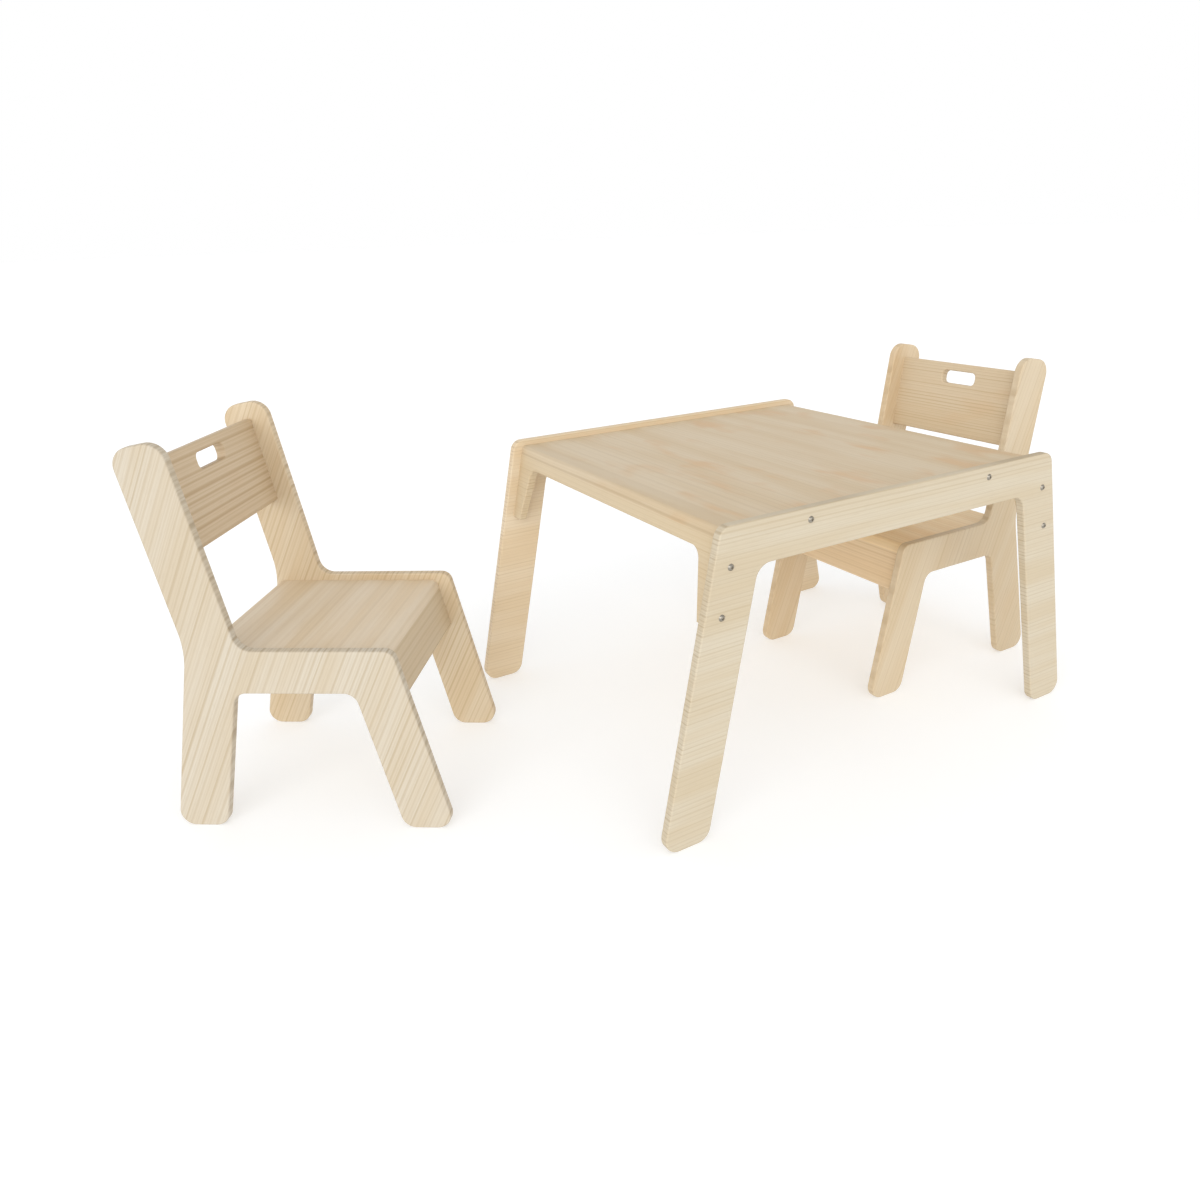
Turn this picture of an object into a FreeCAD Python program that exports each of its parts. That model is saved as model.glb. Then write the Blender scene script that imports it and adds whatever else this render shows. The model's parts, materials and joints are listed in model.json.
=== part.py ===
import FreeCAD, Part
import os
import Sketcher

# Kids table and two chairs, all of flat wooden boards.
#
# The table is a top between two one-board A-shaped sides, with a slanted apron under each end.
# Each chair is a seat, a front apron and a leaning backrest between two one-board h-shaped sides.
# Table frame: X along the table, Y across it, Z up, origin on the floor under its middle.
# Chair frame: X forward, Y to the sitter's left, Z up, origin on the floor amid the four feet.

SIZES = {
    # every board
    "board": (15, "thickness of every board"),
    "eased": (2.5, "radius along the free edges of the boards"),
    "foot_radius": (22, "corners of the feet"),
    # table
    "table_height": (460, "floor to the top edge of the sides"),
    "table_length": (660, "length of the sides along their top edge"),
    "table_width": (650, "over the outer faces of the two sides"),
    "table_splay": (99, "how far each foot stands out beyond the top edge"),
    "table_leg": (76, "width of a table leg, measured level"),
    "table_rail": (64, "height of the sides' upper rail"),
    "table_corner": (20, "top corners of the sides"),
    "table_inner_corner": (25, "corners between rail and legs"),
    "top_recess": (10, "top surface below the sides' top edge"),
    "top_lip": (8, "rounding of the top's two ends"),
    "apron_setback": (17, "end apron's face behind the legs' outer edge, level"),
    "arch_height": (414, "underside of the end aprons between their ears"),
    "ear_height": (318, "lower end of the ears"),
    "ear_top_width": (48, "ear width under the arch"),
    "ear_foot_width": (25, "ear width at its lower end"),
    "arch_radius": (20, "inner corners of the arch"),
    "screw_inset": (27.5, "leg screws from the legs' outer edge, level"),
    "upper_screw": (403, "height of the upper leg screws"),
    "lower_screw": (335, "height of the lower leg screws"),
    "rail_screw": (150, "rail screws from the ends of the rail"),
    "top_dowel_near": (70, "inner dowels of the table top from the middle"),
    "top_dowel_far": (200, "outer dowels of the table top from the middle"),
    # chair
    "chair_width": (317, "over the outer faces of the two sides"),
    "chair_depth": (420, "rear of the rear feet to front of the front feet"),
    "chair_leg": (75.5, "width of a chair leg, measured level"),
    "leg_angle": (12.4, "slant of the chair legs, degrees"),
    "post_width": (75, "width of a back post, measured level"),
    "post_angle": (10, "lean of the back posts, degrees"),
    "post_height": (577, "middle of the posts' upper end"),
    "knee_height": (286, "where the rear leg turns into the back post"),
    "knee_radius": (140, "rounding of the knee"),
    "post_radius": (27, "upper corners of the posts"),
    "rail_top": (284.5, "upper edge of the chair rail"),
    "rail_bottom": (219, "lower edge of the chair rail"),
    "seat_corner": (25, "corner between post and rail"),
    "chair_corner": (17, "front upper corner of the chair rail"),
    "chair_inner_corner": (20, "corners between rail and legs"),
    "seat_height": (273.5, "upper face of the seat"),
    "seat_rear": (69, "rear edge of the seat from the rear of the feet"),
    "seat_setback": (23.5, "seat's front edge behind the front leg, level"),
    "seat_lip": (10, "rounding of the seat's front edge"),
    "front_apron_bottom": (191, "lower edge of the front apron"),
    "back_bottom": (415.5, "lower edge of the backrest"),
    "back_top": (551.5, "upper edge of the backrest"),
    "back_lip": (3, "rounding of the backrest's upper and lower edges"),
    "slot_length": (77, "length of the handle slot"),
    "slot_height": (24, "height of the handle slot"),
    "slot_middle": (525.3, "height of the handle slot's middle"),
    "slot_radius": (9, "corners of the handle slot"),
    # fasteners
    "screw_radius": (2.5, "shank of a wood screw"),
    "screw_length": (38, "length of a wood screw under its head"),
    "head_radius": (5, "head of a wood screw"),
    "head_crown": (5.67, "radius of the domed head"),
    "socket_radius": (1.9, "across the corners of the hexagon socket, halved"),
    "socket_depth": (1.8, "depth of the hexagon socket"),
    "dowel_radius": (4, "radius of every dowel"),
    "dowel_length": (30, "long dowel, sides to boards"),
    "dowel_in_side": (10, "depth of a long dowel in a side"),
    "seat_dowel_first": (40, "first seat dowel from the seat's rear edge"),
    "seat_dowel_step": (90, "from one seat dowel to the next"),
    "apron_dowel_low": (15, "lower dowel of the front apron above its lower edge"),
    "apron_dowel_high": (18, "upper dowel of the front apron below the seat"),
    "back_dowel_inset": (25, "backrest dowels from its lower and upper edges"),
    "apron_top_dowel": (90, "outer dowels of the front apron's top from the middle"),
    "short_dowel": (19, "short dowel, board on board"),
    "short_dowel_up": (9, "depth of a short dowel in the upper board"),
    "slack": (0.05, "radial clearance of every screw and dowel"),
    "end_slack": (0.5, "space beyond the end of every screw and dowel"),
    # where the pieces stand, from the table's middle
    "left_chair_x": (-726, "left chair along the table"),
    "left_chair_y": (151, "left chair across the table"),
    "left_chair_heading": (-35, "left chair's facing direction, degrees"),
    "right_chair_x": (330.5, "right chair along the table"),
    "right_chair_y": (-5, "right chair across the table"),
    "right_chair_heading": (180, "right chair's facing direction, degrees"),
}

# Expressions that several pieces share, worked out from the sheet.
TOP_FACE = "(Sizes.table_height - Sizes.top_recess)"
TOP_UNDERSIDE = f"({TOP_FACE} - Sizes.board)"
TOP_MIDDLE = f"({TOP_FACE} - Sizes.board / 2)"
TABLE_HALF = "(Sizes.table_width / 2 - Sizes.board)"
TABLE_SLOPE = "(Sizes.table_splay / Sizes.table_height)"
LEVEL_BOARD = f"(Sizes.board * sqrt(1 + {TABLE_SLOPE}^2))"
CHAIR_HALF = "(Sizes.chair_width / 2 - Sizes.board)"
CHAIR_FRONT = "(Sizes.chair_depth / 2)"
LEG_SLOPE = "tan(Sizes.leg_angle)"
POST_SLOPE = "tan(Sizes.post_angle)"
KNEE = f"(Sizes.knee_height * {LEG_SLOPE} - {CHAIR_FRONT})"
SEAT_UNDERSIDE = "(Sizes.seat_height - Sizes.board)"
SEAT_MIDDLE = "(Sizes.seat_height - Sizes.board / 2)"
LEVEL_APRON = "(Sizes.board / cos(Sizes.leg_angle))"
BACK_MIDDLE = "((Sizes.back_bottom + Sizes.back_top) / 2)"
BACK_RISE = "((Sizes.back_top - Sizes.back_bottom) / cos(Sizes.post_angle) / 2)"
PLAY = "(Sizes.dowel_radius + Sizes.slack)"

doc = FreeCAD.newDocument("kids_table_and_chairs")
sheet = doc.addObject("Spreadsheet::Sheet", "Sizes")
for row, (alias, (number, meaning)) in enumerate(SIZES.items(), start=1):
    sheet.set(f"A{row}", alias)
    sheet.set(f"B{row}", str(number))
    sheet.setAlias(f"B{row}", alias)
    sheet.set(f"C{row}", meaning)
doc.recompute()
pieces = []


def size(expression):
    """Today's value of an expression of the sheet's sizes."""
    return float(sheet.evalExpression(expression))


def table_edge(height):
    """Level distance from the table's middle to the legs' outer edge at a height."""
    return f"(Sizes.table_length / 2 + {TABLE_SLOPE} * (Sizes.table_height - ({height})))"


def apron_face(height):
    """Level distance from the table's middle to the end apron's outer face at a height."""
    return f"({table_edge(height)} - Sizes.apron_setback)"


def front_leg(height):
    """The front leg's front edge at a height, in the chair frame."""
    return f"({CHAIR_FRONT} - {LEG_SLOPE} * ({height}))"


def rear_leg(height):
    """The rear leg's rear edge at a height, in the chair frame."""
    return f"({LEG_SLOPE} * ({height}) - {CHAIR_FRONT})"


def post_rear(height):
    """The back post's rear edge at a height, in the chair frame."""
    return f"({KNEE} - {POST_SLOPE} * (({height}) - Sizes.knee_height))"


def seat_face(height):
    """The front face of the seat and front apron at a height, in the chair frame."""
    return f"({front_leg(height)} - Sizes.seat_setback)"


# ---------------------------------------------------------------- PartDesign helpers

def new_body(label):
    body = doc.addObject("PartDesign::Body", label)
    body.Label = label
    return body


def new_sketch(body, plane, offset="0"):
    """Empty sketch on one of the body's own origin planes, moved along the plane's normal."""
    sketch = body.newObject("Sketcher::SketchObject", f"{body.Name}_sketch")
    support = next(item for item in body.Origin.OriginFeatures if item.Role == plane)
    sketch.AttachmentSupport = [(support, "")]
    sketch.MapMode = "FlatFace"
    sketch.setExpression("AttachmentOffset.Base.z", offset)
    return sketch


def hold(sketch, kind, reference, expression):
    """One dimension of a sketch, bound to the sheet."""
    number = sketch.addConstraint(Sketcher.Constraint(kind, *reference, size(expression)))
    name = f"size_{number}"
    sketch.renameConstraint(number, name)
    sketch.setExpression(f"Constraints.{name}", expression)


def hold_point(sketch, geometry, point, x, y):
    """A point of a sketch, dimensioned from the sketch's origin."""
    hold(sketch, "DistanceX", (-1, 1, geometry, point), x)
    hold(sketch, "DistanceY", (-1, 1, geometry, point), y)


def draw_outline(sketch, corners):
    """Closed outline with straight sides through corners given as pairs of expressions."""
    points = [FreeCAD.Vector(size(x), size(y), 0) for x, y in corners]
    for start, end in zip(points, points[1:] + points[:1]):
        sketch.addGeometry(Part.LineSegment(start, end))
    for line in range(len(points)):
        sketch.addConstraint(Sketcher.Constraint("Coincident", line, 2, (line + 1) % len(points), 1))
    for line, (x, y) in enumerate(corners):
        hold_point(sketch, line, 1, x, y)


def pad(body, plane, corners, length, middle=False, backwards=False):
    """Board of the given outline, to one side of its plane or half to each."""
    sketch = new_sketch(body, plane)
    draw_outline(sketch, corners)
    board = body.newObject("PartDesign::Pad", f"{body.Name}_board")
    board.Profile = sketch
    board.setExpression("Length", length)
    if middle:
        board.SideType = "Symmetric"
    board.Reversed = backwards
    doc.recompute()


def pocket(body, sketch, depth, through=False, backwards=False):
    """Pocket of a sketch, which has to take some material away."""
    before = body.Shape.Volume
    hollow = body.newObject("PartDesign::Pocket", f"{body.Name}_pocket")
    hollow.Profile = sketch
    hollow.Reversed = backwards
    if through:
        hollow.SideType = "Symmetric"
        hollow.Type = "ThroughAll"
    else:
        hollow.setExpression("Length", depth)
    doc.recompute()
    if body.Shape.Volume > before - 1:
        raise ValueError(f"{body.Label}: a pocket cuts nothing")
    return hollow


def drill(body, plane, centres, radius, depth, offset="0", through=False, backwards=False):
    """Round holes of one radius and depth in one face."""
    sketch = new_sketch(body, plane, offset)
    for number, (x, y) in enumerate(centres):
        centre = FreeCAD.Vector(size(x), size(y), 0)
        sketch.addGeometry(Part.Circle(centre, FreeCAD.Vector(0, 0, 1), size(radius)))
        hold_point(sketch, number, 3, x, y)
        hold(sketch, "Radius", (number,), radius)
    return pocket(body, sketch, depth, through, backwards)


def mirror(body, plane, features):
    """Repeat features on the other side of one of the body's own origin planes."""
    twin = body.newObject("PartDesign::Mirrored", f"{body.Name}_mirror")
    twin.Originals = features
    twin.MirrorPlane = (next(item for item in body.Origin.OriginFeatures if item.Role == plane), [""])
    body.Tip = twin
    doc.recompute()


def round_edges(body, radius, wanted):
    """Round the tip's edges that the wanted() test picks by their end points."""
    tip = body.Tip
    names = []
    for number, edge in enumerate(tip.Shape.Edges, start=1):
        if wanted([vertex.Point for vertex in edge.Vertexes]):
            names.append(f"Edge{number}")
    if not names:
        raise ValueError(f"{body.Label}: no edge to round")
    fillet = body.newObject("PartDesign::Fillet", f"{body.Name}_rounding")
    fillet.Base = (tip, names)
    fillet.setExpression("Radius", radius)
    doc.recompute()
    if "Invalid" in fillet.State:
        raise ValueError(f"{body.Label}: a rounding of {radius} fails")


def near(one, other):
    return abs(one - other) < 0.01


def edges_at(axis, first, second, corners):
    """Test for straight edges along an axis that stand at corners of an outline across it."""
    places = [(size(one), size(two)) for one, two in corners]

    def wanted(points):
        start, end = points[0], points[-1]
        if near(getattr(start, axis), getattr(end, axis)):
            return False
        return any(all(near(getattr(point, first), one) and near(getattr(point, second), two)
                       for point in points) for one, two in places)
    return wanted


def across(corners):
    """Edges along Y at corners of an XZ outline."""
    return edges_at("y", "x", "z", corners)


def along_x(corners):
    """Edges along X at corners of a YZ outline, however far they run."""
    return edges_at("x", "y", "z", corners)


def in_planes(axis, levels):
    """Test for edges that lie in a plane across an axis at one of the given levels."""
    def wanted(points):
        return any(all(near(getattr(point, axis), level) for point in points) for level in levels)
    return wanted


def finish_piece(piece, place):
    piece.Placement = place
    pieces.append(piece)


# ---------------------------------------------------------------- fastener helpers

def cylinder(name, x, y, z, radius, length, direction):
    """Round bar from a point along a direction, every size bound to the sheet."""
    bar = doc.addObject("Part::Cylinder", name)
    bar.setExpression("Radius", radius)
    bar.setExpression("Height", length)
    for axis, place in zip("xyz", (x, y, z)):
        bar.setExpression(f"Placement.Base.{axis}", place)
    bar.Placement = FreeCAD.Placement(
        bar.Placement.Base, FreeCAD.Rotation(FreeCAD.Vector(0, 0, 1), direction))
    return bar


def screw(name, x, z):
    """Round-headed wood screw with a hexagon socket, driven through the table's +Y side."""
    along = FreeCAD.Vector(0, 1, 0)
    outer = "(Sizes.table_width / 2)"
    shank = cylinder(f"{name}_shank", x, f"({outer} - Sizes.screw_length)", z,
                     "Sizes.screw_radius", "Sizes.screw_length", along)
    crown_base = "sqrt(Sizes.head_crown^2 - Sizes.head_radius^2)"
    head = doc.addObject("Part::Sphere", f"{name}_head")
    head.setExpression("Radius", "Sizes.head_crown")
    head.setExpression("Angle1", "acos(Sizes.head_radius / Sizes.head_crown)")
    socket = doc.addObject("Part::Prism", f"{name}_socket")
    socket.Polygon = 6
    socket.setExpression("Circumradius", "Sizes.socket_radius")
    socket.setExpression("Height", "Sizes.head_crown")
    levels = {head: f"({outer} - {crown_base})",
              socket: f"({outer} - {crown_base} + Sizes.head_crown - Sizes.socket_depth)"}
    for solid, level in levels.items():
        solid.Placement = FreeCAD.Placement(
            FreeCAD.Vector(), FreeCAD.Rotation(FreeCAD.Vector(0, 0, 1), along))
        for axis, place in zip("xyz", (x, level, z)):
            solid.setExpression(f"Placement.Base.{axis}", place)
    joined = doc.addObject("Part::Fuse", f"{name}_blank")
    joined.Base = head
    joined.Tool = shank
    whole = doc.addObject("Part::Cut", name)
    whole.Base = joined
    whole.Tool = socket
    return whole


def group(label, members):
    compound = doc.addObject("Part::Compound", label)
    compound.Label = label
    compound.Links = members
    return compound


def with_mirror(label, members, normal):
    """The members and their mirror images, as one group."""
    half = group(f"{label}_half", members)
    image = doc.addObject("Part::Mirroring", f"{label}_image")
    image.Source = half
    image.Normal = normal
    return group(label, [half, image])


# ---------------------------------------------------------------- table

def table_side(label, place):
    """One-board side: a rail with two splayed legs, seen along Y."""
    foot = table_edge("0")
    crotch_height = "(Sizes.table_height - Sizes.table_rail)"
    tip = ("Sizes.table_length / 2", "Sizes.table_height")
    toe = (foot, "0")
    heel = (f"{foot} - Sizes.table_leg", "0")
    crotch = (f"{table_edge(crotch_height)} - Sizes.table_leg", crotch_height)
    right = [crotch, heel, toe, tip]
    left = [(f"-({x})", z) for x, z in right]
    body = new_body(label)
    pad(body, "XZ_Plane", right + left[::-1], "Sizes.board", middle=True)
    round_edges(body, "Sizes.table_corner", across([right[3], left[3]]))
    round_edges(body, "Sizes.table_inner_corner", across([right[0], left[0]]))
    round_edges(body, "Sizes.foot_radius", across(right[1:3] + left[1:3]))
    half = size("Sizes.board / 2")
    round_edges(body, "Sizes.eased", in_planes("y", [-half, half]))
    holes = drill(body, "XZ_Plane", screw_places(), "Sizes.screw_radius + Sizes.slack", None, through=True)
    mirror(body, "YZ_Plane", [holes])
    finish_piece(body, place)


def screw_places():
    """The screws of the sides' +X half: two in the leg, one in the rail."""
    leg = [(f"{table_edge(height)} - Sizes.screw_inset", height)
           for height in ("Sizes.upper_screw", "Sizes.lower_screw")]
    return leg + [("Sizes.table_length / 2 - Sizes.rail_screw", TOP_MIDDLE)]


def drill_for_screws(body, places):
    """Pilot holes in both ends of a board that spans the table."""
    depth = "Sizes.screw_length - Sizes.board + Sizes.end_slack"
    holes = drill(body, "XZ_Plane", places, "Sizes.screw_radius + Sizes.slack", depth, offset=TABLE_HALF)
    mirror(body, "XZ_Plane", [holes])


def table_top(place):
    """Flat top between the sides, its ends cut to the slant of the aprons and rounded over."""
    upper, lower = apron_face(TOP_FACE), apron_face(TOP_UNDERSIDE)
    corners = [(f"-{lower}", TOP_UNDERSIDE), (lower, TOP_UNDERSIDE),
               (upper, TOP_FACE), (f"-{upper}", TOP_FACE)]
    body = new_body("table_top")
    pad(body, "XZ_Plane", corners, f"2 * {TABLE_HALF}", middle=True)
    round_edges(body, "Sizes.top_lip", across(corners[2:]))
    rail_screws = [(f"{side}({x})", z) for side in ("", "-") for x, z in screw_places()[2:]]
    drill_for_screws(body, rail_screws)
    places = [(f"{side}({x})", y) for side in ("", "-") for x, y in top_dowel_places()]
    drill(body, "XY_Plane", places, PLAY, "Sizes.short_dowel_up + Sizes.end_slack",
          offset=TOP_UNDERSIDE, backwards=True)
    finish_piece(body, place)


def top_dowel_places():
    """The dowels over the +X end apron, in the middle of its thickness."""
    middle = f"{apron_face(TOP_UNDERSIDE)} - {LEVEL_BOARD} / 2"
    return [(middle, f"{side}Sizes.{name}")
            for side in ("", "-") for name in ("top_dowel_near", "top_dowel_far")]


def table_apron(label, place):
    """Slanted end board at the +X end, an inverted U with tapering ears."""
    outer = [(apron_face("Sizes.ear_height"), "Sizes.ear_height"),
             (apron_face(TOP_UNDERSIDE), TOP_UNDERSIDE)]
    inner = [(f"{x} - {LEVEL_BOARD}", z) for x, z in reversed(outer)]
    body = new_body(label)
    pad(body, "XZ_Plane", outer + inner, f"2 * {TABLE_HALF}", middle=True)
    top_of_ear = f"{TABLE_HALF} - Sizes.ear_top_width"
    foot_of_ear = f"{TABLE_HALF} - Sizes.ear_foot_width"
    arch = [(top_of_ear, "Sizes.arch_height"), (foot_of_ear, "Sizes.ear_height"),
            (f"-({foot_of_ear})", "Sizes.ear_height"), (f"-({top_of_ear})", "Sizes.arch_height")]
    sketch = new_sketch(body, "YZ_Plane")
    draw_outline(sketch, arch)
    pocket(body, sketch, None, through=True)
    round_edges(body, "Sizes.arch_radius", along_x([arch[0], arch[3]]))
    half = size(TABLE_HALF)
    level = size(LEVEL_BOARD)
    top_edge = size(TOP_UNDERSIDE)

    def free_edge(points):
        """An edge of one of the two slanted faces, apart from the ends and the top."""
        setbacks = [size(apron_face(f"{point.z}")) - point.x for point in points]
        in_face = near(setbacks[0], setbacks[-1]) and min(abs(setbacks[0]), abs(setbacks[0] - level)) < 0.01
        at_end = all(near(abs(point.y), half) for point in points)
        return in_face and not at_end and not all(near(point.z, top_edge) for point in points)

    round_edges(body, "Sizes.eased", free_edge)
    drill_for_screws(body, screw_places()[:2])
    drill(body, "XY_Plane", top_dowel_places(), PLAY,
          "Sizes.short_dowel - Sizes.short_dowel_up + Sizes.end_slack", offset=TOP_UNDERSIDE)
    finish_piece(body, place)


def table(place):
    turned = FreeCAD.Placement(FreeCAD.Vector(), FreeCAD.Rotation(FreeCAD.Vector(0, 0, 1), 180))
    side_offset = size(f"{TABLE_HALF} + Sizes.board / 2")
    for label, sign in (("table_side_front", -1), ("table_side_back", 1)):
        shift = FreeCAD.Placement(FreeCAD.Vector(0, sign * side_offset, 0), FreeCAD.Rotation())
        table_side(label, place * shift)
    table_top(place)
    table_apron("table_apron_right", place)
    table_apron("table_apron_left", place * turned)
    quarter = [screw(f"screw_{number}", x, z) for number, (x, z) in enumerate(screw_places())]
    half = with_mirror("table_screws_one_side", quarter, FreeCAD.Vector(1, 0, 0))
    finish_piece(with_mirror("table_screws", [half], FreeCAD.Vector(0, 1, 0)), place)
    level = f"{TOP_UNDERSIDE} - Sizes.short_dowel + Sizes.short_dowel_up"
    dowels = [cylinder(f"top_dowel_{number}", x, y, level, "Sizes.dowel_radius", "Sizes.short_dowel",
                       FreeCAD.Vector(0, 0, 1)) for number, (x, y) in enumerate(top_dowel_places())]
    finish_piece(with_mirror("table_dowels", dowels, FreeCAD.Vector(1, 0, 0)), place)


# ---------------------------------------------------------------- chair

def seat_dowel_places():
    """Side dowels of the seat, in the middle of its thickness."""
    return [(f"Sizes.seat_rear - {CHAIR_FRONT} + Sizes.seat_dowel_first + {number} * Sizes.seat_dowel_step",
             SEAT_MIDDLE) for number in range(3)]


def apron_dowel_places():
    """Side dowels of the front apron, in the middle of its thickness."""
    return [(f"{seat_face(level)} - {LEVEL_APRON} / 2", level)
            for level in ("Sizes.front_apron_bottom + Sizes.apron_dowel_low",
                          f"{SEAT_UNDERSIDE} - Sizes.apron_dowel_high")]


def back_dowel_places():
    """Side dowels of the backrest, on the middle line of the back posts."""
    return [(f"{post_rear(level)} + Sizes.post_width / 2", level)
            for level in ("Sizes.back_bottom + Sizes.back_dowel_inset",
                          "Sizes.back_top - Sizes.back_dowel_inset")]


def chair_side(label, left, place):
    """One-board side: rear leg, back post, rail and front leg in one outline."""
    post_half = "(Sizes.post_width * cos(Sizes.post_angle) / 2)"
    post_middle = f"({post_rear('Sizes.post_height')} + Sizes.post_width / 2)"
    corners = {
        "rear_foot": (rear_leg("0"), "0"),
        "knee": (KNEE, "Sizes.knee_height"),
        "post_back": (f"{post_middle} - {post_half} * cos(Sizes.post_angle)",
                      f"Sizes.post_height - {post_half} * sin(Sizes.post_angle)"),
        "post_front": (f"{post_middle} + {post_half} * cos(Sizes.post_angle)",
                       f"Sizes.post_height + {post_half} * sin(Sizes.post_angle)"),
        "post_rail": (f"{post_rear('Sizes.rail_top')} + Sizes.post_width", "Sizes.rail_top"),
        "rail_front": (front_leg("Sizes.rail_top"), "Sizes.rail_top"),
        "front_toe": (front_leg("0"), "0"),
        "front_heel": (f"{front_leg('0')} - Sizes.chair_leg", "0"),
        "front_crotch": (f"{front_leg('Sizes.rail_bottom')} - Sizes.chair_leg", "Sizes.rail_bottom"),
        "rear_crotch": (f"{rear_leg('Sizes.rail_bottom')} + Sizes.chair_leg", "Sizes.rail_bottom"),
        "rear_heel": (f"{rear_leg('0')} + Sizes.chair_leg", "0"),
    }
    roundings = {
        "Sizes.knee_radius": ["knee"],
        "Sizes.post_radius": ["post_back", "post_front"],
        "Sizes.seat_corner": ["post_rail"],
        "Sizes.chair_corner": ["rail_front"],
        "Sizes.chair_inner_corner": ["front_crotch", "rear_crotch"],
        "Sizes.foot_radius": ["rear_foot", "rear_heel", "front_heel", "front_toe"],
    }
    body = new_body(label)
    pad(body, "XZ_Plane", list(corners.values()), "Sizes.board", backwards=left)
    for radius, names in roundings.items():
        round_edges(body, radius, across([corners[name] for name in names]))
    board = size("Sizes.board")
    round_edges(body, "Sizes.eased", in_planes("y", [0, board if left else -board]))
    places = seat_dowel_places() + apron_dowel_places() + back_dowel_places()
    drill(body, "XZ_Plane", places, PLAY, "Sizes.dowel_in_side + Sizes.end_slack", backwards=not left)
    shift = size(CHAIR_HALF) * (1 if left else -1)
    finish_piece(body, place * FreeCAD.Placement(FreeCAD.Vector(0, shift, 0), FreeCAD.Rotation()))


def drill_ends(body, places):
    """Dowel holes in both ends of a board that spans the chair."""
    depth = "Sizes.dowel_length - Sizes.dowel_in_side + Sizes.end_slack"
    holes = drill(body, "XZ_Plane", places, PLAY, depth, offset=CHAIR_HALF)
    mirror(body, "XZ_Plane", [holes])


def apron_top_places():
    """Short dowels between seat and front apron, across the chair."""
    middle = f"{seat_face(SEAT_UNDERSIDE)} - {LEVEL_APRON} / 2"
    return [(middle, f"{step} * Sizes.apron_top_dowel") for step in (-1, 0, 1)]


def chair_seat(label, place):
    """Flat seat, its front edge cut to the slant of the front legs and rounded over."""
    rear = f"(Sizes.seat_rear - {CHAIR_FRONT})"
    corners = [(rear, SEAT_UNDERSIDE), (seat_face(SEAT_UNDERSIDE), SEAT_UNDERSIDE),
               (seat_face("Sizes.seat_height"), "Sizes.seat_height"), (rear, "Sizes.seat_height")]
    body = new_body(label)
    pad(body, "XZ_Plane", corners, f"2 * {CHAIR_HALF}", middle=True)
    round_edges(body, "Sizes.seat_lip", across(corners[2:3]))
    round_edges(body, "Sizes.eased", across([corners[0], corners[3]]))
    drill_ends(body, seat_dowel_places())
    drill(body, "XY_Plane", apron_top_places(), PLAY, "Sizes.short_dowel_up + Sizes.end_slack",
          offset=SEAT_UNDERSIDE, backwards=True)
    finish_piece(body, place)


def chair_apron(label, place):
    """Slanted board under the seat's front edge."""
    outer = [(seat_face("Sizes.front_apron_bottom"), "Sizes.front_apron_bottom"),
             (seat_face(SEAT_UNDERSIDE), SEAT_UNDERSIDE)]
    inner = [(f"{x} - {LEVEL_APRON}", z) for x, z in reversed(outer)]
    body = new_body(label)
    pad(body, "XZ_Plane", outer + inner, f"2 * {CHAIR_HALF}", middle=True)
    round_edges(body, "Sizes.eased", across([outer[0], inner[1]]))
    drill_ends(body, apron_dowel_places())
    drill(body, "XY_Plane", apron_top_places(), PLAY,
          "Sizes.short_dowel - Sizes.short_dowel_up + Sizes.end_slack", offset=SEAT_UNDERSIDE)
    finish_piece(body, place)


def chair_backrest(label, place):
    """Board between the posts with a handle slot, drawn upright about its own middle."""
    half = "(Sizes.board / 2)"
    corners = [(f"-{half}", f"-{BACK_RISE}"), (half, f"-{BACK_RISE}"),
               (half, BACK_RISE), (f"-{half}", BACK_RISE)]
    body = new_body(label)
    pad(body, "XZ_Plane", corners, f"2 * {CHAIR_HALF}", middle=True)
    round_edges(body, "Sizes.back_lip", across(corners))
    level = f"((Sizes.slot_middle - {BACK_MIDDLE}) / cos(Sizes.post_angle))"
    ends = ("-Sizes.slot_length / 2", "Sizes.slot_length / 2")
    low, high = f"{level} - Sizes.slot_height / 2", f"{level} + Sizes.slot_height / 2"
    slot = [(ends[0], low), (ends[1], low), (ends[1], high), (ends[0], high)]
    sketch = new_sketch(body, "YZ_Plane")
    draw_outline(sketch, slot)
    pocket(body, sketch, None, through=True)
    round_edges(body, "Sizes.slot_radius", along_x(slot))
    span = size(ends[1])
    thick = size(half)
    faces = in_planes("x", [-thick, thick])

    def slot_rim(points):
        return faces(points) and all(abs(point.y) < span + 1 for point in points)
    round_edges(body, "Sizes.eased", slot_rim)
    rise = "/ cos(Sizes.post_angle)"
    drill_ends(body, [("0", f"({z} - {BACK_MIDDLE}) {rise}") for _, z in back_dowel_places()])
    middle = FreeCAD.Vector(size(f"{post_rear(BACK_MIDDLE)} + Sizes.post_width / 2"), 0, size(BACK_MIDDLE))
    lean = FreeCAD.Rotation(FreeCAD.Vector(0, 1, 0), -size("Sizes.post_angle"))
    finish_piece(body, place * FreeCAD.Placement(middle, lean))


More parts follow.
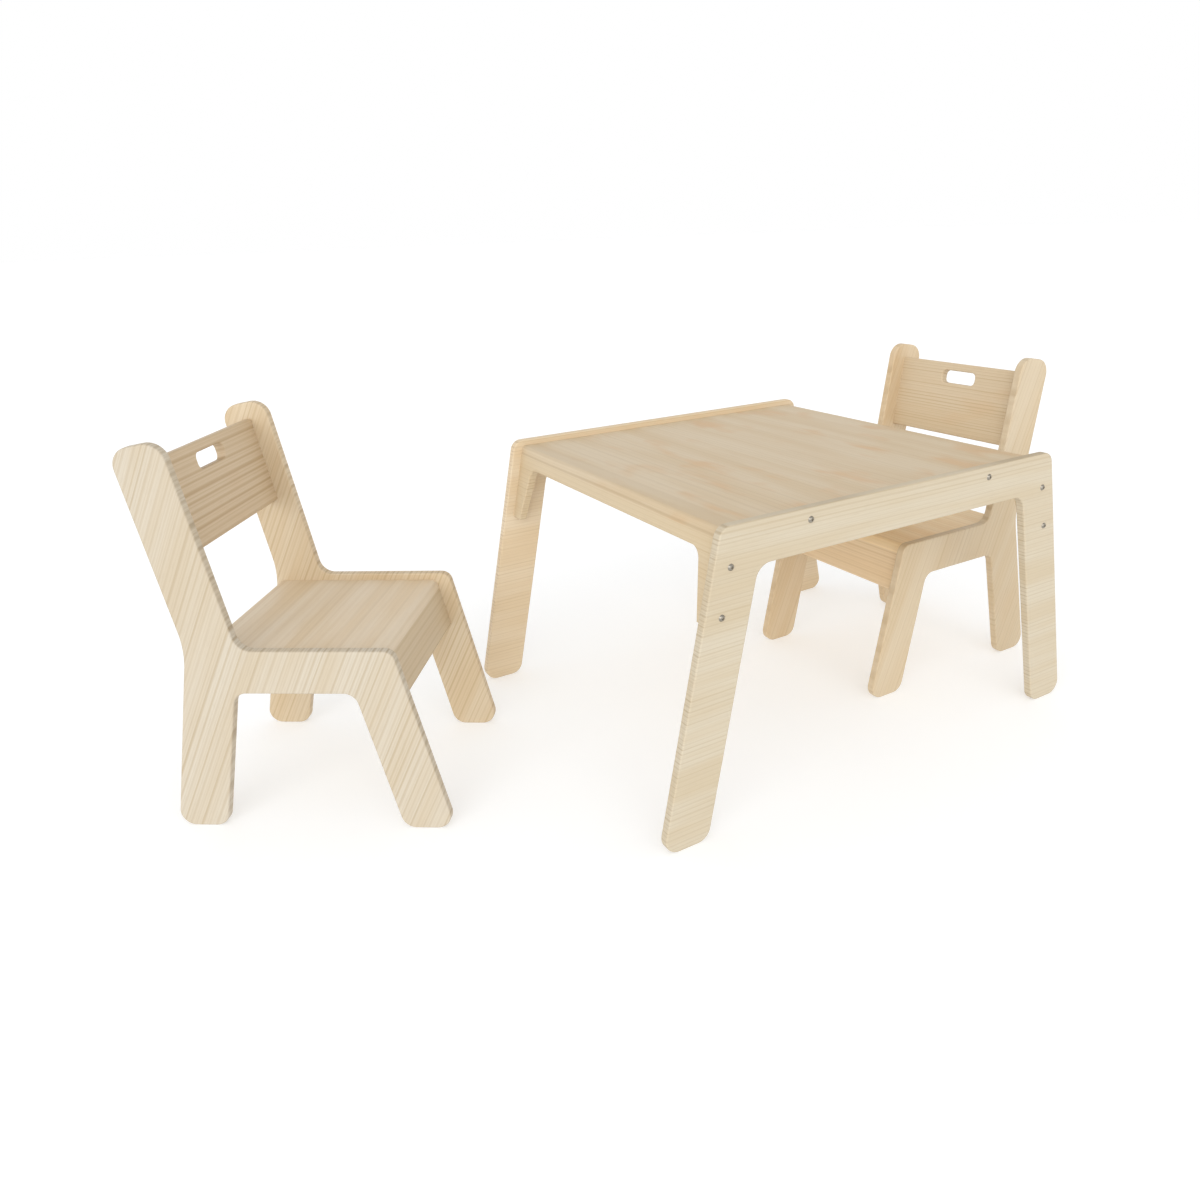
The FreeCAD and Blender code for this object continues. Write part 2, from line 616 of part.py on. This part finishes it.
def chair(name, place):
    chair_side(f"{name}_left_side", True, place)
    chair_side(f"{name}_right_side", False, place)
    chair_seat(f"{name}_seat", place)
    chair_apron(f"{name}_front_apron", place)
    chair_backrest(f"{name}_backrest", place)
    start = f"({CHAIR_HALF} + Sizes.dowel_in_side - Sizes.dowel_length)"
    sideways = seat_dowel_places() + apron_dowel_places() + back_dowel_places()
    dowels = [cylinder(f"{name}_dowel_{number}", x, start, z, "Sizes.dowel_radius", "Sizes.dowel_length",
                       FreeCAD.Vector(0, 1, 0)) for number, (x, z) in enumerate(sideways)]
    finish_piece(with_mirror(f"{name}_side_dowels", dowels, FreeCAD.Vector(0, 1, 0)), place)
    level = f"{SEAT_UNDERSIDE} - Sizes.short_dowel + Sizes.short_dowel_up"
    short = [cylinder(f"{name}_short_{number}", x, y, level, "Sizes.dowel_radius", "Sizes.short_dowel",
                      FreeCAD.Vector(0, 0, 1)) for number, (x, y) in enumerate(apron_top_places())]
    finish_piece(group(f"{name}_apron_dowels", short), place)


def stand(name):
    """Where a chair stands and which way it faces."""
    spot = FreeCAD.Vector(size(f"Sizes.{name}_x"), size(f"Sizes.{name}_y"), 0)
    heading = FreeCAD.Rotation(FreeCAD.Vector(0, 0, 1), size(f"Sizes.{name}_heading"))
    return FreeCAD.Placement(spot, heading)


table(FreeCAD.Placement())
for name in ("left_chair", "right_chair"):
    chair(name, stand(name))
doc.recompute()

# The origin moves to the floor under the middle of the whole group.
extent = FreeCAD.BoundBox()
for piece in pieces:
    extent.add(piece.Shape.optimalBoundingBox(False, False))
to_middle = FreeCAD.Placement(FreeCAD.Vector(-extent.Center.x, -extent.Center.y, 0), FreeCAD.Rotation())
for piece in pieces:
    piece.Placement = to_middle * piece.Placement
doc.recompute()

for item in doc.Objects:
    if {"Invalid", "Error"} & set(item.State):
        raise ValueError(f"{item.Label} is in state {item.State}")
os.makedirs("parts", exist_ok=True)
for piece in pieces:
    if piece.Shape.isNull() or not piece.Shape.isValid():
        raise ValueError(f"{piece.Label} has no valid shape")
    piece.Shape.exportStep(os.path.join("parts", f"{piece.Label}.step"))
    print(f"{piece.Label}: {len(piece.Shape.Solids)} solids, {piece.Shape.Volume / 1000:.1f} cm3")
print("origin moved by", to_middle.Base)
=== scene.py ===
import json
import math

import bpy
from mathutils import Matrix, Vector


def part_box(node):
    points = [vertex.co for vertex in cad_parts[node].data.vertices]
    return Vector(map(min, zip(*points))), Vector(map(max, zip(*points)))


# A kids table and two chairs, all of pale solid wood. The frame already has every board, dowel
# and screw in its place and shape. This script gives each board its own cut of wood and the
# screws their steel, and adds the floor, the light and the camera. Lengths are in metres.

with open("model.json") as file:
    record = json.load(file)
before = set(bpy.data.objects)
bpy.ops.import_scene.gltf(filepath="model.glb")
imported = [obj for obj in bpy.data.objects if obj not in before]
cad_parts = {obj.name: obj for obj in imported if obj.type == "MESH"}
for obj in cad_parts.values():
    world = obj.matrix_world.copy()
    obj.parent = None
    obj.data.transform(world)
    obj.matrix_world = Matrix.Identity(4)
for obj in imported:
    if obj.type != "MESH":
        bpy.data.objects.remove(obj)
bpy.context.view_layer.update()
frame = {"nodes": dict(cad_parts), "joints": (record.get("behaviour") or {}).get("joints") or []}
scene = bpy.context.scene

ALONG = Vector((1, 0, 0))
ACROSS = Vector((0, 1, 0))
UP = Vector((0, 0, 1))
LEG_SLANT = 12.4    # degrees from upright, chair legs and front aprons
BACK_SLANT = 10     # degrees from upright, chair backs


# ---------------------------------------------------------------- node helpers

class Graph:
    """A material's node tree, with short calls for the nodes the wood is made of."""

    def __init__(self, material):
        material.use_nodes = True
        self.tree = material.node_tree
        self.shader = next(node for node in self.tree.nodes if node.type == "BSDF_PRINCIPLED")

    def node(self, kind, **settings):
        made = self.tree.nodes.new(kind)
        for name, value in settings.items():
            setattr(made, name, value)
        return made

    def feed(self, socket, value):
        """Link a socket to another, or set it to a plain value."""
        if isinstance(value, bpy.types.NodeSocket):
            self.tree.links.new(value, socket)
        else:
            socket.default_value = value

    def plain(self, **levels):
        """Set the shader's uniform values, given by name with _ for a space."""
        for name, level in levels.items():
            self.shader.inputs[name.replace("_", " ")].default_value = level

    def math(self, operation, first, second=0.0, third=0.0):
        made = self.node("ShaderNodeMath", operation=operation)
        for socket, value in zip(made.inputs, (first, second, third)):
            self.feed(socket, value)
        return made.outputs[0]

    def vector(self, operation, first, second=(0, 0, 0)):
        made = self.node("ShaderNodeVectorMath", operation=operation)
        self.feed(made.inputs[0], first)
        self.feed(made.inputs[1], second)
        return made.outputs["Value"] if operation in ("DOT_PRODUCT", "LENGTH") else made.outputs[0]

    def stretch(self, coordinates, scale):
        return self.vector("MULTIPLY", coordinates, scale)

    def noise(self, coordinates, scale, detail=2.0, roughness=0.5, colour=False):
        """Noise whose scale is in repeats per metre, along each of the coordinates."""
        made = self.node("ShaderNodeTexNoise")
        self.feed(made.inputs["Vector"], self.stretch(coordinates, scale))
        self.feed(made.inputs["Scale"], 1.0)
        self.feed(made.inputs["Detail"], detail)
        self.feed(made.inputs["Roughness"], roughness)
        return made.outputs["Color"] if colour else made.outputs[0]

    def ramp(self, factor, stops):
        """Curve through (position, level) stops."""
        made = self.node("ShaderNodeValToRGB")
        made.color_ramp.interpolation = "EASE"
        elements = made.color_ramp.elements
        while len(elements) < len(stops):
            elements.new(0.5)
        for element, (position, level) in zip(elements, stops):
            element.position = position
            element.color = (level, level, level, 1)
        self.feed(made.inputs[0], factor)
        return made.outputs[0]

    def mix(self, factor, first, second):
        made = self.node("ShaderNodeMix", data_type="RGBA")
        self.feed(made.inputs[0], factor)
        self.feed(made.inputs[6], first)
        self.feed(made.inputs[7], second)
        return made.outputs[2]

    def span(self, value, low, high):
        """Map a 0 to 1 value onto low to high."""
        return self.math("MULTIPLY_ADD", value, high - low, low)

    def relief(self, height, strength, depth):
        """Bump the surface by a 0 to 1 height."""
        bump = self.node("ShaderNodeBump")
        bump.inputs["Strength"].default_value = strength
        bump.inputs["Distance"].default_value = depth
        self.feed(bump.inputs["Height"], height)
        self.feed(self.shader.inputs["Normal"], bump.outputs[0])


def colour(red, green, blue):
    """Linear colour from an ordinary 0 to 255 one."""
    def linear(level):
        level /= 255
        return level / 12.92 if level <= 0.04045 else ((level + 0.055) / 1.055) ** 2.4
    return (linear(red), linear(green), linear(blue), 1)


def tint(base, shares):
    """A linear colour with its red, green and blue scaled."""
    return tuple(level * share for level, share in zip(base, shares)) + (1,)


# ---------------------------------------------------------------- wood

# The wood's other tones, as shares of a board's everyday red, green and blue.
PALE_TONE = (1.06, 1.07, 1.10)
WARM_TONE = (0.97, 0.90, 0.80)
STAIN_TONE = (1.0, 0.82, 0.66)
LATE_TONE = (0.76, 0.67, 0.54)
FIBRE_TONE = (0.62, 0.53, 0.43)
RUNG_TONE = (0.52, 0.43, 0.32)

# How the rings leave their true circles: a slow wander, a wobble and a fine tremble, each with
# its repeats per metre along, across and through the board, and its reach.
BENDS = (((1.3, 3, 0), 0.010), ((9, 38, 0), 0.0008), ((55, 240, 0), 0.0004))

# Dark lines of a year: how many to a ring, how far the first is put off, and their strength.
# Each year ends in a thin dark line, and weaker false rings lie between.
YEAR_LINES = ((1, 0.0, 1.0), (2, 0.3, 0.5), (5, 0.6, 0.28))
LINE_SHAPE = ((0.0, 0.35), (0.15, 0.0), (0.5, 0.0), (0.8, 0.85), (0.9, 1.0), (1.0, 0.35))
WEAKEST_LINE = 0.4      # of a line's full strength
PACE_SCALE = 0.3        # how often the rings' spacing changes, per ring

# Marks along the grain: repeats per metre along, across and through the board.
FIBRE_SCALE = (16, 900, 900)
STREAK_SCALE = (3.5, 230, 230)
BAND_SCALE = (2.0, 24, 24)
STAIN_SCALE = (9, 20, 20)
PORE_SCALE = (45, 1300, 1300)

# What a mark's noise, from 0 to 1, is worth.
BAND_SHAPE = ((0.0, 0.0), (0.34, 0.0), (0.66, 1.0))
STAIN_SHAPE = ((0.0, 0.0), (0.52, 0.0), (0.74, 1.0))
PORE_SHAPE = ((0.0, 0.0), (0.64, 0.0), (0.72, 1.0))
STREAK_SHAPE = ((0.0, 1.0), (0.42, 0.25), (0.62, 0.0))
FIBRE_SHAPE = ((0.0, 1.0), (0.45, 0.35), (0.7, 0.0))

# How strongly the marks colour the wood. The ring lines' share of a board's contrast goes from
# low to high with the streaks.
LINE_LOW, LINE_HIGH = 0.8, 1.8
STREAK_STRENGTH = 0.5       # share of a board's contrast
FIBRE_STRENGTH = 0.10
PORE_STRENGTH = 0.14

# The surface: roughness from the smoothest fibres to the dullest, and what late wood takes off
# it; then how high late wood and fibres stand, how low pores lie, and the depth of it all.
SMOOTH, DULL = 0.48, 0.62
LATE_SHEEN = 0.06
LATE_RISE, FIBRE_RISE, PORE_DROP = 0.6, 0.7, 0.5
GRAIN_DEPTH = 0.00025

# How much of an edge a point is, by how squarely it faces out of the board's face.
EDGE_SHAPE = ((0.0, 1.0), (0.5, 0.8), (0.93, 0.0))

# A seed moves the marks and the rings of a board by this much.
MARKS_MOVE = (1.37, 0.71, 0.53)
RINGS_MOVE = 0.37


def growth_rings(graph, board, spot, ring, pith, seed):
    """How dark the growth rings are at a point of the board, from 0 to 1.

    They wander along the board but go square through its thickness.
    """
    bent = board
    for scale, reach in BENDS:
        drift = graph.vector("SUBTRACT", graph.noise(spot, scale, colour=True), (0.5, 0.5, 0.5))
        bent = graph.vector("ADD", bent, graph.stretch(drift, (0, reach, reach)))
    outward = graph.vector("SUBTRACT", bent, (0, pith[0], pith[1]))
    radius = graph.vector("LENGTH", graph.stretch(outward, (0, 1, 1)))
    pace = graph.node("ShaderNodeTexNoise", noise_dimensions="1D")
    graph.feed(pace.inputs["W"], radius)
    graph.feed(pace.inputs["Scale"], PACE_SCALE / ring)
    graph.feed(pace.inputs["Detail"], 1.0)
    start = graph.math("ADD", pace.outputs[0], seed * RINGS_MOVE)
    age = graph.math("MULTIPLY_ADD", radius, 1 / ring, start)
    late = 0.0
    for split, offset, strength in YEAR_LINES:
        lines = graph.math("MULTIPLY_ADD", age, split, offset)
        vigour = graph.node("ShaderNodeTexWhiteNoise", noise_dimensions="1D")
        graph.feed(vigour.inputs["W"], graph.math("FLOOR", lines))
        vigour = graph.span(vigour.outputs["Value"], strength * WEAKEST_LINE, strength)
        line = graph.ramp(graph.math("FRACT", lines), LINE_SHAPE)
        late = graph.math("MAXIMUM", graph.math("MULTIPLY", line, vigour), late)
    return late


def wood(name, middle, grain, face, tone, ring, contrast, pith=(0.8, 0.0), cloud=0.5,
         blotch=0.0, rungs=0.4, seed=0.0):
    """Solid wood, cut out of growth rings that lie round a pith along the grain.

    middle is the middle of the board, and grain and face are directions: along the fibres, and
    out of the board's broad face. tone is its everyday colour, lightened by painted light on
    some boards that sit in shade, and ring the width of a growth ring. pith is how far the pith
    is from the board's middle, across the grain in the face and out of the face: far to the side
    gives straight lines, and behind the face broad arcs.
    contrast, cloud, blotch and rungs are how strong the lines, the broad bands of colour along
    the grain, the soft round stains and the dark ends of the rings on the sawn edges are.
    """
    material = bpy.data.materials.new(name)
    graph = Graph(material)
    base = colour(*tone)[:3]
    grain = Vector(grain).normalized()
    face = Vector(face).normalized()
    side = face.cross(grain).normalized()

    # The board's own coordinates: along the grain, across it, and out of the face.
    place = graph.node("ShaderNodeTexCoord")
    mapping = graph.node("ShaderNodeMapping", vector_type="TEXTURE")
    turn = Matrix((grain, side, face)).transposed().to_euler()
    graph.feed(mapping.inputs["Vector"], place.outputs["Object"])
    graph.feed(mapping.inputs["Rotation"], tuple(turn))
    graph.feed(mapping.inputs["Location"], tuple(middle))
    board = mapping.outputs[0]
    spot = graph.vector("ADD", board, tuple(seed * move for move in MARKS_MOVE))

    late = growth_rings(graph, board, spot, ring, pith, seed)
    fibre = graph.noise(spot, FIBRE_SCALE, detail=3, roughness=0.6)
    streak = graph.noise(spot, STREAK_SCALE, detail=3, roughness=0.55)
    band = graph.noise(spot, BAND_SCALE, detail=3, roughness=0.55)
    stain = graph.noise(spot, STAIN_SCALE, detail=2, roughness=0.5)
    pore = graph.ramp(graph.noise(spot, PORE_SCALE, detail=1), PORE_SHAPE)

    # Each layer of colour lies over the one before: the broad bands first.
    bands = graph.span(graph.ramp(band, BAND_SHAPE), 0.5 - cloud / 2, 0.5 + cloud / 2)
    mixed = graph.mix(bands, tint(base, PALE_TONE), tint(base, WARM_TONE))
    layers = (
        (graph.ramp(stain, STAIN_SHAPE), blotch, STAIN_TONE),
        (late, graph.span(streak, contrast * LINE_LOW, contrast * LINE_HIGH), LATE_TONE),
        (graph.ramp(streak, STREAK_SHAPE), contrast * STREAK_STRENGTH, LATE_TONE),
        (graph.ramp(fibre, FIBRE_SHAPE), FIBRE_STRENGTH, FIBRE_TONE),
        (pore, PORE_STRENGTH, FIBRE_TONE),
    )
    for mark, strength, shares in layers:
        mixed = graph.mix(graph.math("MULTIPLY", mark, strength), mixed, tint(base, shares))

    # Sawn edges drink more finish, so the rings stand out there as a ladder of dark rungs.
    facing = graph.vector("DOT_PRODUCT", place.outputs["Normal"], tuple(face))
    edge = graph.ramp(graph.math("ABSOLUTE", facing), EDGE_SHAPE)
    ladder = graph.math("MULTIPLY", edge, graph.span(late, 0.0, rungs))
    graph.feed(graph.shader.inputs["Base Color"], graph.mix(ladder, mixed, tint(base, RUNG_TONE)))

    # A matt finish, smoother on the hard late wood, which also stands a little proud.
    sheen = graph.math("MULTIPLY", late, LATE_SHEEN)
    dullness = graph.math("SUBTRACT", graph.span(fibre, SMOOTH, DULL), sheen)
    graph.feed(graph.shader.inputs["Roughness"], dullness)
    graph.plain(IOR=1.48, Specular_IOR_Level=0.35, Coat_Weight=0.06, Coat_Roughness=0.4)
    height = graph.math("MULTIPLY_ADD", late, LATE_RISE, graph.math("MULTIPLY", fibre, FIBRE_RISE))
    height = graph.math("SUBTRACT", height, graph.math("MULTIPLY", pore, PORE_DROP))
    graph.relief(height, strength=0.4, depth=GRAIN_DEPTH)
    return material


def screw_steel():
    """Zinc-plated steel, dulled in patches, with a fine tooth to it."""
    material = bpy.data.materials.new("screw_steel")
    graph = Graph(material)
    place = graph.node("ShaderNodeTexCoord").outputs["Object"]
    speckle = graph.noise(place, (900, 900, 900), detail=3)
    smear = graph.noise(place, (300, 1, 300), detail=2)
    steel = graph.mix(smear, colour(114, 109, 100), colour(182, 175, 163))
    graph.feed(graph.shader.inputs["Base Color"], steel)
    graph.feed(graph.shader.inputs["Roughness"], graph.span(speckle, 0.2, 0.42))
    graph.plain(Metallic=1.0)
    graph.relief(speckle, strength=0.2, depth=0.0001)
    return material


# ---------------------------------------------------------------- the pieces

DOWEL_WOOD = {"tone": (200, 172, 134), "ring": 0.002, "contrast": 0.4}


def dress(node, material):
    """Give a CAD node one material all over."""
    data = frame["nodes"][node].data
    data.materials.clear()
    data.materials.append(material)


def dress_board(node, **look):
    """Give a CAD node its own wood, laid out from the middle of the node's box."""
    corners = [Vector(corner) for corner in frame["nodes"][node].bound_box]
    dress(node, wood(node, middle=sum(corners, Vector()) / len(corners), **look))


def dress_table():
    """The sides' and aprons' grain runs along them, and the top's across the table."""
    sides = {"table_side_front": (3, (202, 192, 171)), "table_side_back": (4, (220, 204, 177))}
    for name, (seed, tone) in sides.items():
        dress_board(name, grain=ALONG, face=ACROSS, tone=tone, ring=0.0068, contrast=0.4,
                    cloud=0.65, seed=seed)
    dress_board("table_top", grain=ACROSS, face=UP, tone=(206, 190, 163), ring=0.010,
                contrast=0.32, pith=(0.30, -0.07), cloud=0.7, blotch=0.9, seed=7)
    for seed, name in enumerate(("table_apron_left", "table_apron_right"), start=11):
        dress_board(name, grain=ACROSS, face=ALONG, tone=(206, 190, 161), ring=0.007,
                    contrast=0.4, seed=seed)
    dress_board("table_dowels", grain=UP, face=ALONG, seed=13, **DOWEL_WOOD)
    dress("table_screws", screw_steel())


def dress_chair(name, climb, seed, side_tones, sides, seat, apron, backrest):
    """Each of a chair's boards, with a seed of its own counted up from the chair's.

    The sides' grain climbs from straight ahead by some degrees, and every other board's runs
    from side to side. side_tones are the left side's and the right side's.
    """
    slide = next(joint for joint in frame["joints"] if joint["child"] == name)
    ahead = Vector(slide["axis"]).normalized()
    left = UP.cross(ahead)

    def raised(degrees):
        return ahead * math.cos(math.radians(degrees)) + UP * math.sin(math.radians(degrees))

    boards = (
        ("left_side", raised(climb), left, {"tone": side_tones[0], **sides}),
        ("right_side", raised(climb), left, {"tone": side_tones[1], **sides}),
        ("seat", left, UP, seat),
        ("front_apron", left, raised(LEG_SLANT), apron),
        ("backrest", left, raised(BACK_SLANT), backrest),
    )
    for step, (board, grain, face, look) in enumerate(boards):
        dress_board(f"{name}_{board}", grain=grain, face=face, seed=seed + step, **look)
    for dowels, grain in (("side_dowels", left), ("apron_dowels", UP)):
        dress_board(f"{name}_{dowels}", grain=grain, face=ahead, seed=seed + len(boards),
                    **DOWEL_WOOD)


dress_table()
dress_chair("left_chair", climb=64, seed=21,
            side_tones=((209, 193, 166), (201, 192, 175)),
            sides={"ring": 0.0088, "contrast": 0.62, "cloud": 0.65, "rungs": 0.5},
            seat={"tone": (216, 201, 177), "ring": 0.016, "contrast": 0.3, "cloud": 0.9},
            apron={"tone": (200, 184, 157), "ring": 0.012, "contrast": 0.4},
            backrest={"tone": (205, 187, 160), "ring": 0.0122, "contrast": 0.85, "cloud": 0.2,
                      "blotch": 0.2})
dress_chair("right_chair", climb=112, seed=41,
            side_tones=((206, 191, 165), (210, 192, 163)),
            sides={"ring": 0.0088, "contrast": 0.4, "cloud": 0.6, "blotch": 0.15,
                   "rungs": 0.08},
            # The seat's and the front apron's tones are painted lighter than their wood, as
            # painted light against the shade they sit in under the table.
            seat={"tone": (242, 221, 184), "ring": 0.010, "contrast": 0.4, "cloud": 0.8},
            apron={"tone": (226, 205, 173), "ring": 0.010, "contrast": 0.55},
            backrest={"tone": (208, 192, 165), "ring": 0.006, "contrast": 0.6, "cloud": 0.6,
                      "blotch": 0.35})


# ---------------------------------------------------------------- floor, light and camera

FLOOR_REACH = 60
SKY_LOW, SKY_HIGH = 0.36, 0.60      # height of the sky's fade, as the sine of its elevation
SUN_WIDTH = 45                      # degrees across, for soft shadows

# The eye, from the lowest corner of the table's near side, which is its near left foot.
EYE = Vector((-0.5684, -0.9021, 0.8251))
YAW, PITCH, ROLL = (math.radians(angle) for angle in (30.7156, -18.7786, -1.8839))


def make_floor():
    """Matt pale floor with a slight glow, so that only soft shadows show on it."""
    material = bpy.data.materials.new("studio_floor")
    graph = Graph(material)
    graph.plain(Base_Color=(0.69, 0.70, 0.71, 1), Emission_Color=(1, 1, 0.995, 1),
                Emission_Strength=0.375, Roughness=0.9, Specular_IOR_Level=0.1)
    data = bpy.data.meshes.new("studio_floor")
    reach = FLOOR_REACH
    corners = [(-reach, -reach, 0), (reach, -reach, 0), (reach, reach, 0), (-reach, reach, 0)]
    data.from_pydata(corners, [], [(0, 1, 2, 3)])
    data.materials.append(material)
    floor = bpy.data.objects.new("studio_floor", data)
    scene.collection.objects.link(floor)


def make_sky():
    """White surroundings, a little dimmer overhead, which give most of the light."""
    world = bpy.data.worlds.new("studio")
    scene.world = world
    world.use_nodes = True
    nodes, links = world.node_tree.nodes, world.node_tree.links
    direction = nodes.new("ShaderNodeTexCoord")
    parts = nodes.new("ShaderNodeSeparateXYZ")
    fade = nodes.new("ShaderNodeMapRange")
    fade.interpolation_type = "SMOOTHSTEP"
    levels = {"From Min": SKY_LOW, "From Max": SKY_HIGH, "To Min": 1.0, "To Max": 0.80}
    for name, level in levels.items():
        fade.inputs[name].default_value = level
    links.new(direction.outputs["Generated"], parts.inputs[0])
    links.new(parts.outputs["Z"], fade.inputs["Value"])
    links.new(fade.outputs["Result"], nodes["Background"].inputs["Strength"])
    nodes["Background"].inputs["Color"].default_value = (1, 1, 1, 1)


def make_sun(name, direction, strength):
    """Even light from a direction."""
    data = bpy.data.lights.new(name, "SUN")
    data.energy = strength
    data.angle = math.radians(SUN_WIDTH)
    lamp = bpy.data.objects.new(name, data)
    lamp.rotation_euler = Vector(direction).to_track_quat("Z", "Y").to_euler()
    scene.collection.objects.link(lamp)


def make_camera():
    """The eye looks down over the table's near left foot, rolled a little to one side."""
    data = bpy.data.cameras.new("camera")
    data.sensor_width = 36
    data.lens = 27.718
    data.shift_x = -0.0302
    data.shift_y = -0.0494
    ahead = Vector((math.sin(YAW) * math.cos(PITCH), math.cos(YAW) * math.cos(PITCH),
                    math.sin(PITCH)))
    level = Vector((math.cos(YAW), -math.sin(YAW), 0))
    upright = level.cross(ahead)
    right = level * math.cos(ROLL) + upright * math.sin(ROLL)
    above = upright * math.cos(ROLL) - level * math.sin(ROLL)
    camera = bpy.data.objects.new("camera", data)
    camera.matrix_world = Matrix((right, above, -ahead)).transposed().to_4x4()
    camera.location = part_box("table_side_front")[0] + EYE
    scene.collection.objects.link(camera)
    scene.camera = camera


make_floor()
make_sky()
make_sun("key", (-0.75, -0.57, 0.33), 1.0)
make_sun("front", (-0.15, -0.90, 0.42), 0.45)
make_camera()
scene.view_settings.view_transform = "Standard"

bpy.context.view_layer.update()
